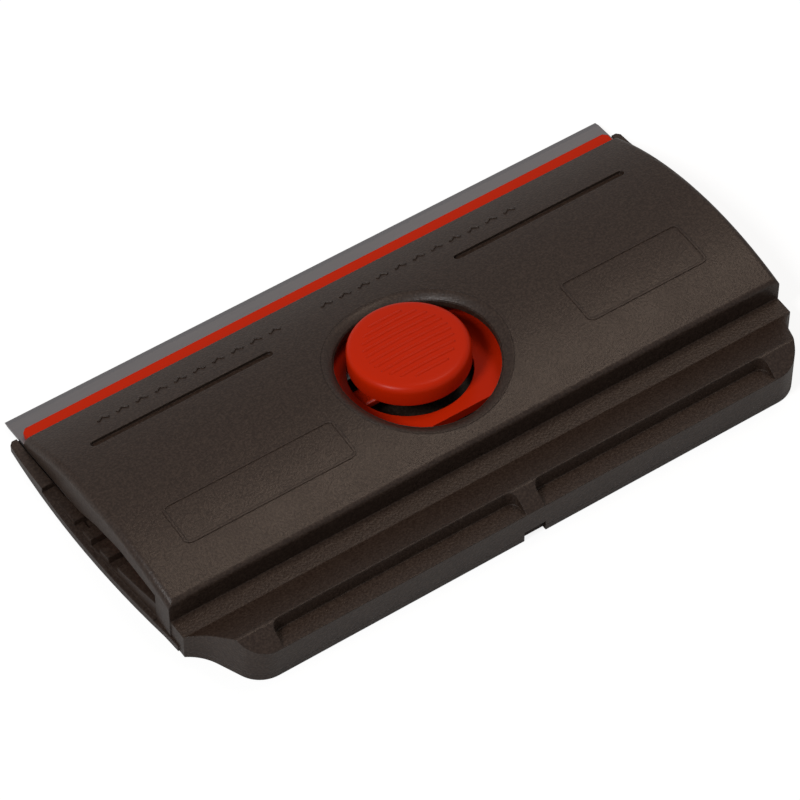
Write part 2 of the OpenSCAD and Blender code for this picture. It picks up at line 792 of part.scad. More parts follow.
// Cap with a low dome, a bevelled rim and a hollow underside, on a round stem
module thumb_button() {
    dome_r = (cap_r * cap_r + cap_dome * cap_dome) / (2 * cap_dome);
    bevel = 0.45;
    side_top = cap_low + cap_side;
    color(red_color) in_slide() translate([0, cap_u, 0]) difference() {
        union() {
            intersection() {
                translate([0, 0, cap_low]) union() {
                    cylinder(r = cap_r, h = cap_side - bevel);
                    translate([0, 0, cap_side - bevel]) cylinder(r1 = cap_r, r2 = cap_r - bevel, h = bevel);
                    translate([0, 0, cap_side - 0.01]) cylinder(r = cap_r - bevel, h = cap_dome + 0.01);
                }
                translate([0, 0, side_top + cap_dome - dome_r]) sphere(dome_r, $fn = 180);
            }
            cap_ribs(dome_r, side_top + cap_dome - dome_r);
            translate([0, 0, hub_low]) cylinder(r = stem_r, h = cap_ceiling - hub_low + 0.2);
        }
        difference() {
            translate([0, 0, cap_low - over]) cylinder(r = cap_r - cap_wall, h = cap_ceiling - cap_low + over);
            cylinder(r = stem_r, h = tall);
        }
        cylinder(r = stem_screw_r + screw_gap, h = cap_ceiling);
    }
}

// Fine ribs across the cap that stand up from its dome
module cap_ribs(dome_r, dome_z) {
    intersection() {
        difference() {
            translate([0, 0, dome_z]) sphere(dome_r + rib_h, $fn = 180);
            translate([0, 0, dome_z]) sphere(dome_r - 0.2, $fn = 180);
        }
        cylinder(r = rib_field_r, h = tall);
        for (i = [0:rib_count - 1]) translate([0, (i - (rib_count - 1) / 2) * rib_pitch, 0])
            block([-cap_r, -rib_w / 2, 0], [cap_r, rib_w / 2, tall]);
    }
}

module button_screw() {
    color(steel_color) in_slide() translate([0, cap_u, hub_low - seat_gap])
        pan_screw(stem_screw_r, cap_ceiling - hub_low - 0.4, stem_head_r, hub_low - bar_top - 2 * seat_gap);
}

// Flat sprung bar with a deep block and a tooth at each end
module lock_bar() {
    color(red_color) in_slide() translate([0, cap_u, 0]) {
        block([-bar_reach, -bar_w / 2, bar_low], [bar_reach, bar_w / 2, bar_top]);
        pair() {
            block([bar_reach - bar_block, -bar_w / 2, bar_low], [bar_reach, bar_w / 2, 0]);
            block([bar_reach - bar_block, -tooth_w / 2, tooth_low], [bar_reach, tooth_w / 2, bar_low + 0.1]);
        }
    }
}

upper_housing();
lower_housing();
housing_screws();
blade_carrier();
blade();
blade_keeper();
keeper_screws();
thumb_button();
button_screw();
lock_bar();
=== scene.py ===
"""Looks of a ceramic hob scraper: a moulded shell, a sliding blade carrier and a thumb button.

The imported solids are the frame. Each class below dresses one sub-assembly of them, and all of
its sizes are in millimetres, in the frame's axes: X along the blade, +Y forwards, +Z up.
"""

from __future__ import annotations

import json
import logging
import math
from dataclasses import dataclass, field
from enum import Enum
from typing import Any, Sequence, Union

import bmesh
import bpy
from mathutils import Matrix, Vector

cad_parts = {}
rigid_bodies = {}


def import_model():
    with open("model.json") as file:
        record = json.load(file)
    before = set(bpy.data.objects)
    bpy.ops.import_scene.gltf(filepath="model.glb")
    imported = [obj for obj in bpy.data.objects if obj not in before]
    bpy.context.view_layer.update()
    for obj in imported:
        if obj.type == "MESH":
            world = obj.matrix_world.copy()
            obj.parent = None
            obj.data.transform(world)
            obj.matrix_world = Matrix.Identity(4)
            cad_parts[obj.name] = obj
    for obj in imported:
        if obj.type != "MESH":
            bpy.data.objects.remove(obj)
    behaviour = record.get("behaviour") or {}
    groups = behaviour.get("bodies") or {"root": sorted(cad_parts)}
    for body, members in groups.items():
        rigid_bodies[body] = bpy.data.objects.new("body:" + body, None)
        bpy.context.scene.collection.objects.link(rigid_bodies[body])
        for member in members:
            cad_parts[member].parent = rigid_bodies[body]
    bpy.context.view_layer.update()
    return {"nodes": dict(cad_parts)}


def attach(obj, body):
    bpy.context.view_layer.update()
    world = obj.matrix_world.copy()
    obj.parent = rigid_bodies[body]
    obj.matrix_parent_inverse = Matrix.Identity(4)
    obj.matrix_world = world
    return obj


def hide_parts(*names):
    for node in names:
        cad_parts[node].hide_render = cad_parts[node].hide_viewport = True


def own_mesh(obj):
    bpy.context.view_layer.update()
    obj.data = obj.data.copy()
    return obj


MM = 0.001
BEVEL_SAMPLES = 4
SHARP_DEGREES = 32.0
WELD_MM = 0.0005
WHITE = (1.0, 1.0, 1.0, 1.0)
LOG = logging.getLogger("hob_scraper")
Number = Union[int, float]
Pair = tuple[float, float]
Colour = tuple[float, float, float]


class Net:
    """A node tree of any kind that is filled from Python."""

    def __init__(self, tree: bpy.types.NodeTree) -> None:
        """Takes over a tree and empties it."""
        self.tree = tree
        self.tree.nodes.clear()

    def node(self, kind: str, settings: dict[str, Any] | None = None,
             inputs: dict[str | int, Any] | None = None) -> bpy.types.Node:
        """Adds one node.

        Args:
            kind: The node's type name.
            settings: Properties of the node, set before its sockets.
            inputs: Values or links of its sockets, by name or by place.

        Returns:
            The new node.
        """
        made = self.tree.nodes.new(kind)
        for name, value in (settings or {}).items():
            if name == "ramp":
                self._set_ramp(made.color_ramp, value)
            else:
                setattr(made, name, value)
        for key, value in (inputs or {}).items():
            self.feed(made.inputs[key], value)
        return made

    def feed(self, socket: bpy.types.NodeSocket, value: Any) -> None:
        """Links a wire to a socket, or sets the socket to a plain value."""
        if isinstance(value, Wire):
            self.tree.links.new(value.socket, socket)
        elif isinstance(value, bpy.types.NodeSocket):
            self.tree.links.new(value, socket)
        else:
            socket.default_value = value

    def wire(self, kind: str, settings: dict[str, Any] | None = None,
             inputs: dict[str | int, Any] | None = None, out: str | int = 0) -> Wire:
        """Adds one node and returns one of its outputs as a wire."""
        return Wire(self, self.node(kind, settings, inputs).outputs[out])

    def math(self, operation: str, *terms: Wire | Number) -> Wire:
        """Adds a Math node with its terms in order."""
        return self.wire("ShaderNodeMath", {"operation": operation}, dict(enumerate(terms)))

    @staticmethod
    def _set_ramp(ramp: bpy.types.ColorRamp, stops: Sequence[tuple[float, float]]) -> None:
        """Gives a colour ramp two or more grey stops."""
        while len(ramp.elements) < len(stops):
            ramp.elements.new(1.0)
        for element, (place, grey) in zip(ramp.elements, stops):
            element.position = place
            element.color = (grey, grey, grey, 1.0)


class Wire:
    """An output socket that Python arithmetic can use."""

    def __init__(self, net: Net, socket: bpy.types.NodeSocket) -> None:
        """Wraps one output socket."""
        self.net = net
        self.socket = socket

    def __add__(self, other: Wire | Number) -> Wire:
        """Sum of two values."""
        return self.net.math("ADD", self, other)

    def __radd__(self, other: Number) -> Wire:
        """Sum with a plain number first."""
        return self.net.math("ADD", other, self)

    def __sub__(self, other: Wire | Number) -> Wire:
        """Difference of two values."""
        return self.net.math("SUBTRACT", self, other)

    def __rsub__(self, other: Number) -> Wire:
        """Difference with a plain number first."""
        return self.net.math("SUBTRACT", other, self)

    def __mul__(self, other: Wire | Number) -> Wire:
        """Product of two values."""
        return self.net.math("MULTIPLY", self, other)

    def __rmul__(self, other: Number) -> Wire:
        """Product with a plain number first."""
        return self.net.math("MULTIPLY", other, self)


@dataclass(frozen=True)
class Finish:
    """A surface that fills one material slot of the record."""

    slot: str
    colour: Colour
    roughness: float
    gloss: float = 0.5

    def material(self) -> bpy.types.Material:
        """Builds the material, or returns it if it is there."""
        name = f"finish {self.slot}"
        if name in bpy.data.materials:
            return bpy.data.materials[name]
        made = bpy.data.materials.new(name)
        made.use_nodes = True
        made.diffuse_color = (*self.colour, 1.0)
        net = Net(made.node_tree)
        shader = net.node("ShaderNodeBsdfPrincipled", inputs={
            "Base Color": (*self.colour, 1.0), "Roughness": self.roughness,
            "Specular IOR Level": self.gloss})
        self.dress(net, shader)
        net.node("ShaderNodeOutputMaterial", inputs={"Surface": shader.outputs["BSDF"]})
        return made

    def dress(self, net: Net, shader: bpy.types.Node) -> None:
        """Adds what changes over the surface. A plain finish has nothing."""

    @staticmethod
    def place(net: Net, stretch: tuple[float, float, float]) -> Wire:
        """Object coordinates, scaled to features per metre along each axis."""
        spot = net.wire("ShaderNodeTexCoord", out="Object")
        return net.wire("ShaderNodeMapping", inputs={"Vector": spot, "Scale": stretch})

    @staticmethod
    def soft_edges(net: Net, radius_mm: float) -> Wire:
        """Normals that round every edge off a little."""
        return net.wire("ShaderNodeBevel", {"samples": BEVEL_SAMPLES}, {"Radius": radius_mm * MM})

    def vary_gloss(self, net: Net, shader: bpy.types.Node, noise: Wire, swing: float) -> None:
        """Lets the roughness swing about its mean with a noise."""
        net.feed(shader.inputs["Roughness"], self.roughness - swing / 2 + noise * swing)

    def blend_colour(self, net: Net, factor: Wire, other: Colour) -> Wire:
        """Mix of this finish's colour and another one."""
        return net.wire("ShaderNodeMix", {"data_type": "RGBA"},
                        {0: factor, 6: (*self.colour, 1.0), 7: (*other, 1.0)}, out=2)


@dataclass(frozen=True)
class GrainedPlastic(Finish):
    """Moulded plastic with a fine spark-eroded grain."""

    grain_mm: float = 0.34
    grain_depth_mm: float = 0.05
    fleck: Colour = (0.052, 0.034, 0.025)
    fleck_share: float = 0.6
    fleck_ramp: tuple[Pair, Pair] = ((0.4, 0.0), (0.68, 1.0))
    gloss_swing: float = 0.12
    edge_mm: float = 0.25

    def dress(self, net: Net, shader: bpy.types.Node) -> None:
        """Adds the grain, its flecks and the soft moulded edges."""
        per_metre = 1 / (self.grain_mm * MM)
        spot = self.place(net, (per_metre,) * 3)
        grain = net.wire("ShaderNodeTexNoise", {"noise_dimensions": "3D"},
                         {"Vector": spot, "Scale": 1.0, "Detail": 2.0, "Roughness": 0.6})
        broad = net.wire("ShaderNodeTexNoise", {"noise_dimensions": "3D"},
                         {"Vector": spot, "Scale": 0.06, "Detail": 3.0})
        peaks = net.wire("ShaderNodeValToRGB", {"ramp": self.fleck_ramp}, {"Fac": grain})
        net.feed(shader.inputs["Base Color"],
                 self.blend_colour(net, peaks * self.fleck_share, self.fleck))
        self.vary_gloss(net, shader, broad, self.gloss_swing)
        soft = self.soft_edges(net, self.edge_mm)
        bump = net.wire("ShaderNodeBump", inputs={
            "Strength": 1.0, "Distance": self.grain_depth_mm * MM, "Height": grain, "Normal": soft})
        net.feed(shader.inputs["Normal"], bump)


@dataclass(frozen=True)
class SmoothPlastic(Finish):
    """Smooth coloured plastic with soft moulded edges."""

    haze_mm: float = 2.5
    gloss_swing: float = 0.1
    edge_mm: float = 0.15

    def dress(self, net: Net, shader: bpy.types.Node) -> None:
        """Adds faint wear in the gloss and the soft edges."""
        spot = self.place(net, (1 / (self.haze_mm * MM),) * 3)
        haze = net.wire("ShaderNodeTexNoise", {"noise_dimensions": "3D"},
                        {"Vector": spot, "Scale": 1.0, "Detail": 3.0})
        self.vary_gloss(net, shader, haze, self.gloss_swing)
        net.feed(shader.inputs["Normal"], self.soft_edges(net, self.edge_mm))


@dataclass(frozen=True)
class RolledSteel(Finish):
    """Satin steel with fine lines along X."""

    lines_per_mm: float = 6.0
    line_depth_mm: float = 0.004
    line_strength: float = 0.6
    line_shrink: float = 0.02
    gloss_swing: float = 0.16

    def dress(self, net: Net, shader: bpy.types.Node) -> None:
        """Adds the metal and its lines."""
        shader.inputs["Metallic"].default_value = 1.0
        across = self.lines_per_mm / MM
        spot = self.place(net, (across * self.line_shrink, across, across))
        lines = net.wire("ShaderNodeTexNoise", {"noise_dimensions": "3D"},
                         {"Vector": spot, "Scale": 1.0, "Detail": 2.0})
        self.vary_gloss(net, shader, lines, self.gloss_swing)
        net.feed(shader.inputs["Normal"], net.wire("ShaderNodeBump", inputs={
            "Strength": self.line_strength, "Distance": self.line_depth_mm * MM,
            "Height": lines}))


BLACK = GrainedPlastic("black_plastic", (0.0195, 0.0108, 0.0073), 0.4, 0.33)
RED = SmoothPlastic("red_plastic", (0.46, 0.016, 0.001), 0.34, 0.1)
BLADE = RolledSteel("blade_steel", (0.3, 0.288, 0.298), 0.42)
PLATED = RolledSteel("plated_steel", (0.5, 0.51, 0.52), 0.3)


class Body(Enum):
    """The rigid bodies of the part."""

    HOUSING = "housing"
    CARRIER = "carrier"
    BUTTON = "button"


@dataclass(frozen=True)
class Arch:
    """The shell's arched top, a circle in Y and Z."""

    radius: float = 50.5
    lip: Pair = (22.4, 3.2)
    ridge: Pair = (-15.5, 8.15)

    @property
    def centre(self) -> Pair:
        """Centre of the circle."""
        rise = self.ridge[1] - self.lip[1]
        run = self.lip[0] - self.ridge[0]
        chord = math.hypot(rise, run)
        drop = math.sqrt(self.radius ** 2 - chord ** 2 / 4) / chord
        return ((self.lip[0] + self.ridge[0]) / 2 - rise * drop,
                (self.lip[1] + self.ridge[1]) / 2 - run * drop)

    def wrap(self, net: Net, geometry: Wire) -> Wire:
        """Lifts flat geometry that is drawn near z = 0 onto the arch."""
        y_mid, z_mid = (value * MM for value in self.centre)
        place = net.node("GeometryNodeInputPosition").outputs[0]
        parts = net.node("ShaderNodeSeparateXYZ", inputs={0: place})
        off = Wire(net, parts.outputs[1]) - y_mid
        lift = net.math("SQRT", (self.radius * MM) ** 2 - off * off) + z_mid
        up = net.wire("ShaderNodeCombineXYZ", inputs={2: lift})
        return net.wire("GeometryNodeSetPosition", inputs={"Geometry": geometry, "Offset": up})


@dataclass(frozen=True)
class SlidePlane:
    """The plane that the carrier slides in, with its own axes."""

    angle: float = 6.0
    front: Pair = (24.65, 2.3)

    def matrix(self, along: float = 0.0) -> Matrix:
        """From the carrier's axes, in metres, to the frame's.

        Args:
            along: Distance along the plane of the new origin, in mm.

        Returns:
            The 4 by 4 matrix.
        """
        place = Matrix.Translation((0.0, self.front[0] * MM, self.front[1] * MM))
        lean = Matrix.Rotation(math.radians(-self.angle), 4, "X")
        return place @ lean @ Matrix.Translation((0.0, along * MM, 0.0))


def add_object(name: str, mesh: bpy.types.Mesh) -> bpy.types.Object:
    """Links a new object with this mesh to the scene."""
    made = bpy.data.objects.new(name, mesh)
    bpy.context.scene.collection.objects.link(made)
    return made


def finish_piece(piece: bpy.types.Object, body: Body, finish: Finish) -> bpy.types.Object:
    """Gives a finished piece its material and its body."""
    if not piece.data.materials:
        piece.data.materials.append(finish.material())
    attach(piece, body.value)
    LOG.info("%s rides on %s: %d faces", piece.name, body.value, len(piece.data.polygons))
    return piece


def shade_by_angle(mesh: bpy.types.Mesh, degrees: float = SHARP_DEGREES) -> None:
    """Smooths all faces and keeps the edges that turn by more than an angle sharp."""
    mesh.shade_smooth()
    mesh.set_sharp_from_angle(angle=math.radians(degrees))


def revolve(name: str, profile: Sequence[Pair], steps: int = 128) -> bpy.types.Mesh:
    """Turns a closed profile about Z.

    Args:
        name: Name of the mesh.
        profile: Radius and height of each corner in mm, from the axis back to the axis.
        steps: Number of faces round the axis.

    Returns:
        A closed mesh with its faces pointing outwards.
    """
    shape = bmesh.new()
    rings = []
    for radius, height in profile:
        if radius == 0:
            rings.append([shape.verts.new((0.0, 0.0, height * MM))])
            continue
        turns = [2 * math.pi * step / steps for step in range(steps)]
        rings.append([shape.verts.new((radius * MM * math.cos(turn), radius * MM * math.sin(turn),
                                       height * MM)) for turn in turns])
    for low, high in zip(rings, rings[1:]):
        for step in range(steps):
            corners = [low[step % len(low)], low[(step + 1) % len(low)],
                       high[(step + 1) % len(high)], high[step % len(high)]]
            shape.faces.new(list(dict.fromkeys(corners)))
    bmesh.ops.recalc_face_normals(shape, faces=shape.faces)
    mesh = bpy.data.meshes.new(name)
    shape.to_mesh(mesh)
    shape.free()
    shade_by_angle(mesh)
    return mesh


def fillet(corner: Pair, radius: float, start: float, end: float, steps: int = 5) -> list[Pair]:
    """Points of an arc about a centre, from one angle in degrees to another."""
    turns = [math.radians(start + (end - start) * step / steps) for step in range(steps + 1)]
    return [(corner[0] + radius * math.cos(turn), corner[1] + radius * math.sin(turn))
            for turn in turns]


class GrownPiece:
    """A piece that a Geometry Nodes tree grows, turned into a plain mesh."""

    def __init__(self, name: str, sizes: dict[str, Any], finish: Finish) -> None:
        """Starts the tree.

        Args:
            name: Name of the piece.
            sizes: The tree's named inputs, with a number, a whole number or a vector each.
            finish: The finish that its faces get.
        """
        self.name = name
        self.sizes = sizes
        self.finish = finish
        group = bpy.data.node_groups.new(name, "GeometryNodeTree")
        kinds = {int: "NodeSocketInt", float: "NodeSocketFloat", tuple: "NodeSocketVector"}
        self.sockets = {
            key: group.interface.new_socket(name=key, in_out="INPUT",
                                            socket_type=kinds[type(value)])
            for key, value in sizes.items()}
        group.interface.new_socket(name="Geometry", in_out="OUTPUT",
                                   socket_type="NodeSocketGeometry")
        self.net = Net(group)
        self.inputs = self.net.node("NodeGroupInput")

    def size(self, key: str) -> Wire:
        """One of the tree's named inputs."""
        return Wire(self.net, self.inputs.outputs[key])

    def grow(self, geometry: Wire, shift: Matrix | None = None) -> bpy.types.Object:
        """Ends the tree and makes the plain mesh.

        Args:
            geometry: What the tree makes, instances among it.
            shift: Where the mesh goes, if it isn't drawn in place.

        Returns:
            The piece as an object at the origin without modifiers.
        """
        real = self.net.wire("GeometryNodeRealizeInstances", inputs={"Geometry": geometry})
        done = self.net.wire("GeometryNodeSetMaterial", inputs={
            "Geometry": real, "Material": self.finish.material()})
        self.net.node("NodeGroupOutput", inputs={"Geometry": done})
        host = add_object(self.name, bpy.data.meshes.new(self.name))
        modifier = host.modifiers.new("grow", "NODES")
        modifier.node_group = self.net.tree
        for key, value in self.sizes.items():
            modifier[self.sockets[key].identifier] = value
        bpy.context.view_layer.update()
        seen = host.evaluated_get(bpy.context.evaluated_depsgraph_get())
        mesh = bpy.data.meshes.new_from_object(seen)
        host.modifiers.clear()
        host.data = mesh
        if shift is not None:
            mesh.transform(shift)
        shape = bmesh.new()
        shape.from_mesh(mesh)
        bmesh.ops.remove_doubles(shape, verts=shape.verts, dist=WELD_MM * MM)
        bmesh.ops.recalc_face_normals(shape, faces=shape.faces)
        shape.to_mesh(mesh)
        shape.free()
        shade_by_angle(mesh)
        return host


@dataclass
class ThumbButton:
    """The red cap on its stem, with fine ribs across its dome."""

    plane: SlidePlane
    along: float = -22.556
    cap_r: float = 8.7
    cap_low: float = 1.8
    cap_side: float = 3.2
    dome: float = 0.5
    wall: float = 1.1
    rim_round: float = 1.1
    stem_r: float = 2.5
    stem_low: float = 0.3
    screw_r: float = 0.85
    rib_count: int = 11
    rib_pitch: float = 1.16
    rib_w: float = 0.45
    rib_h: float = 0.2
    rib_field_r: float = 6.4
    rib_bluntness: float = 0.15
    hem_round: float = 0.15
    crown_steps: int = 16

    @property
    def dome_r(self) -> float:
        """Radius of the dome's sphere."""
        return (self.cap_r ** 2 + self.dome ** 2) / (2 * self.dome)

    def dome_height(self, radius: float) -> float:
        """Height of the dome at a distance from its middle."""
        top = self.cap_low + self.cap_side + self.dome
        return top - self.dome_r + math.sqrt(self.dome_r ** 2 - radius ** 2)

    def cap(self) -> bpy.types.Mesh:
        """Cap and stem as one turned shape."""
        rim = self.cap_r - self.rim_round
        ceiling = self.cap_low + self.cap_side + self.dome - self.wall
        lean = math.degrees(math.asin(rim / self.dome_r))
        radii = [rim * step / self.crown_steps for step in range(self.crown_steps)]
        crown = [(radius, self.dome_height(radius)) for radius in radii]
        corner = (rim, self.dome_height(rim) - self.rim_round)
        shoulder = fillet(corner, self.rim_round, 90 - lean, 0)
        hem = self.hem_round
        skirt = fillet((self.cap_r - hem, self.cap_low + hem), hem, 0, -90, 3)
        profile = [*crown, *shoulder, *skirt, (self.cap_r - self.wall, self.cap_low),
                   (self.cap_r - self.wall, ceiling), (self.stem_r, ceiling),
                   (self.stem_r, self.stem_low), (self.screw_r, self.stem_low),
                   (self.screw_r, ceiling), (0.0, ceiling)]
        return revolve("thumb cap", profile)

    def ribs(self) -> bpy.types.Object:
        """Half-round ribs whose ends follow a circle and whose backs follow the dome."""
        grown = GrownPiece("thumb_ribs", {
            "Count": self.rib_count, "Pitch": self.rib_pitch * MM, "Field": self.rib_field_r * MM,
            "Width": self.rib_w * MM, "Height": self.rib_h * MM,
            "Dome": self.dome_r * MM, "Top": self.dome_height(0) * MM}, RED)
        net = grown.net
        line = net.wire("GeometryNodeMeshLine", inputs={
            "Count": grown.size("Count"),
            "Start Location": net.wire("ShaderNodeCombineXYZ", inputs={
                1: (1 - grown.size("Count")) * grown.size("Pitch") * 0.5}),
            "Offset": net.wire("ShaderNodeCombineXYZ", inputs={1: grown.size("Pitch")})})
        bar = net.wire("GeometryNodeMeshUVSphere", inputs={
            "Segments": 12, "Rings": 24, "Radius": 1.0})
        lying = net.wire("GeometryNodeTransform", inputs={
            "Geometry": bar, "Rotation": (0.0, math.pi / 2, 0.0)})
        across = self._part(net, 1)
        reach = net.math("SQRT", grown.size("Field") * grown.size("Field") - across * across)
        spread = net.wire("ShaderNodeCombineXYZ", inputs={
            0: reach, 1: grown.size("Width") * 0.5, 2: grown.size("Height")})
        rows = net.wire("GeometryNodeInstanceOnPoints", inputs={
            "Points": line, "Instance": self._blunt(net, lying), "Scale": spread})
        real = net.wire("GeometryNodeRealizeInstances", inputs={"Geometry": rows})
        side, ahead = self._part(net, 0), self._part(net, 1)
        dome = grown.size("Dome")
        reach_out = net.math("SQRT", dome * dome - side * side - ahead * ahead)
        lift = grown.size("Top") - dome + reach_out
        bent = net.wire("GeometryNodeSetPosition", inputs={
            "Geometry": real, "Offset": net.wire("ShaderNodeCombineXYZ", inputs={2: lift})})
        return grown.grow(bent, self.plane.matrix(self.along))

    @staticmethod
    def _part(net: Net, axis: int) -> Wire:
        """One part of the position."""
        place = net.node("GeometryNodeInputPosition").outputs[0]
        return Wire(net, net.node("ShaderNodeSeparateXYZ", inputs={0: place}).outputs[axis])

    def _blunt(self, net: Net, bar: Wire) -> Wire:
        """Widens the ends of a ball, so that the rib has the same width nearly all along."""
        side, ahead, up = (self._part(net, axis) for axis in range(3))
        taper = net.math("SQRT", net.math("MAXIMUM", 1.0 - side * side, 1e-4))
        even = net.math("DIVIDE", net.math("POWER", taper, self.rib_bluntness), taper)
        spot = net.wire("ShaderNodeCombineXYZ", inputs={0: side, 1: ahead * even, 2: up * even})
        return net.wire("GeometryNodeSetPosition", inputs={"Geometry": bar, "Position": spot})

    def build(self) -> None:
        """Makes the cap and its ribs as one piece."""
        cap = self.cap()
        cap.transform(self.plane.matrix(self.along))
        cap.materials.append(RED.material())
        piece = add_object("thumb_cap", cap)
        ribs = self.ribs()
        joined = bmesh.new()
        joined.from_mesh(piece.data)
        joined.from_mesh(ribs.data)
        joined.to_mesh(piece.data)
        joined.free()
        bpy.data.objects.remove(ribs)
        finish_piece(piece, Body.BUTTON, RED)
        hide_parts("thumb_button")


@dataclass
class MouldedMarks:
    """Plain raised marks on the arch: two empty frames and rows of forward chevrons."""

    arch: Arch
    height: float = 0.12
    line_w: float = 0.4
    frames: tuple[tuple[Pair, Pair], ...] = (
        ((-29.7, -5.8), (27.3, 7.0)), ((33.2, -4.0), (20.3, 8.0)))
    frame_round: float = 0.5
    frame_steps: int = 120
    chevron_rows: tuple[tuple[float, int], ...] = ((-40.0, 10), (-3.5, 11))
    chevron_ahead: float = 18.2
    chevron_pitch: float = 3.1
    chevron_leg: float = 1.25
    chevron_lean: float = 38.0
    chevron_overlap: float = 0.08

    def frame(self, name: str, middle: Pair, span: Pair) -> bpy.types.Object:
        """One empty frame.

        Args:
            name: Name of the piece.
            middle: X and Y of its middle.
            span: Its width and depth, outside.

        Returns:
            The piece.
        """
        grown = GrownPiece(name, {
            "Width": (span[0] - self.line_w) * MM, "Depth": (span[1] - self.line_w) * MM,
            "Line": self.line_w * MM, "Height": 2 * self.height * MM,
            "Corner": self.frame_round * MM,
            "Middle": (middle[0] * MM, middle[1] * MM, 0.0)}, BLACK)
        net = grown.net
        outline = net.wire("GeometryNodeCurvePrimitiveQuadrilateral", inputs={
            "Width": grown.size("Width"), "Height": grown.size("Depth")})
        rounded = net.wire("GeometryNodeFilletCurve", inputs={
            "Curve": outline, "Radius": grown.size("Corner")})
        fine = net.wire("GeometryNodeResampleCurve", inputs={
            "Curve": rounded, "Count": self.frame_steps})
        section = net.wire("GeometryNodeCurvePrimitiveQuadrilateral", inputs={
            "Width": grown.size("Line"), "Height": grown.size("Height")})
        bar = net.wire("GeometryNodeCurveToMesh", inputs={"Curve": fine, "Profile Curve": section})
        moved = net.wire("GeometryNodeTransform", inputs={
            "Geometry": bar, "Translation": grown.size("Middle")})
        return grown.grow(self.arch.wrap(net, moved))

    def chevrons(self, name: str, first_x: float, count: int) -> bpy.types.Object:
        """One row of chevrons that point forwards, the way the blade slides out.

        Args:
            name: Name of the piece.
            first_x: Place of the row's first chevron along X.
            count: Number of chevrons.

        Returns:
            The piece.
        """
        grown = GrownPiece(name, {
            "Count": count, "Pitch": self.chevron_pitch * MM, "Leg": self.chevron_leg * MM,
            "Line": self.line_w * MM, "Height": 2 * self.height * MM,
            "First": (first_x * MM, self.chevron_ahead * MM, 0.0)}, BLACK)
        net = grown.net
        box = net.wire("ShaderNodeCombineXYZ", inputs={
            0: grown.size("Leg"), 1: grown.size("Line"), 2: grown.size("Height")})
        stroke = net.wire("GeometryNodeMeshCube", inputs={"Size": box})
        lean = math.radians(self.chevron_lean)
        half = math.cos(lean) / 2 - self.chevron_overlap
        legs = [net.wire("GeometryNodeTransform", inputs={
            "Geometry": stroke, "Rotation": (0.0, 0.0, side * -lean),
            "Translation": net.wire("ShaderNodeCombineXYZ", inputs={
                0: grown.size("Leg") * (side * half)})})
            for side in (-1, 1)]
        join = net.node("GeometryNodeJoinGeometry")
        for leg in legs:
            net.feed(join.inputs[0], leg)
        points = net.wire("GeometryNodeMeshLine", inputs={
            "Count": grown.size("Count"), "Start Location": grown.size("First"),
            "Offset": net.wire("ShaderNodeCombineXYZ", inputs={0: grown.size("Pitch")})})
        row = net.wire("GeometryNodeInstanceOnPoints", inputs={
            "Points": points, "Instance": join.outputs[0]})
        real = net.wire("GeometryNodeRealizeInstances", inputs={"Geometry": row})
        return grown.grow(self.arch.wrap(net, real))

    def build(self) -> None:
        """Makes all the marks."""
        for number, (middle, span) in enumerate(self.frames, 1):
            finish_piece(self.frame(f"raised_frame_{number}", middle, span), Body.HOUSING, BLACK)
        for number, (first_x, count) in enumerate(self.chevron_rows, 1):
            row = self.chevrons(f"chevron_row_{number}", first_x, count)
            finish_piece(row, Body.HOUSING, BLACK)


@dataclass
class DishCollar:
    """The soft slope of the dished recess round the button's hole."""

    arch: Arch
    hole_ahead: float = 0.5
    slope: tuple[Pair, ...] = (
        (13.28, 0.0), (13.05, 0.04), (12.8, 0.13), (12.5, 0.3), (12.2, 0.5), (11.95, 0.68),
        (11.78, 0.83), (11.66, 0.9), (11.64, 0.93), (13.28, 0.93))
    steps: int = 160

    def build(self) -> None:
        """Makes the slope as a closed ring that follows the arch."""
        y_mid, z_mid = self.arch.centre
        tilt = math.asin((self.hole_ahead - y_mid) / self.arch.radius)
        turn_to = Matrix.Translation((0.0, y_mid * MM, z_mid * MM)) @ Matrix.Rotation(-tilt, 4, "X")
        shape = bmesh.new()
        rings = []
        for step in range(self.steps):
            turn = 2 * math.pi * step / self.steps
            ring = []
            for radius, depth in self.slope:
                side, ahead = radius * math.cos(turn), radius * math.sin(turn)
                up = math.sqrt((self.arch.radius - depth) ** 2 - ahead ** 2)
                ring.append(shape.verts.new((side * MM, ahead * MM, up * MM)))
            rings.append(ring)
        count = len(self.slope)
        for here, there in zip(rings, rings[1:] + rings[:1]):
            for place in range(count):
                after = (place + 1) % count
                shape.faces.new((here[place], there[place], there[after], here[after]))
        bmesh.ops.recalc_face_normals(shape, faces=shape.faces)
        mesh = bpy.data.meshes.new("dish_collar")
        shape.to_mesh(mesh)
        shape.free()
        mesh.transform(turn_to)
        shade_by_angle(mesh)
        finish_piece(add_object("dish_collar", mesh), Body.HOUSING, BLACK)


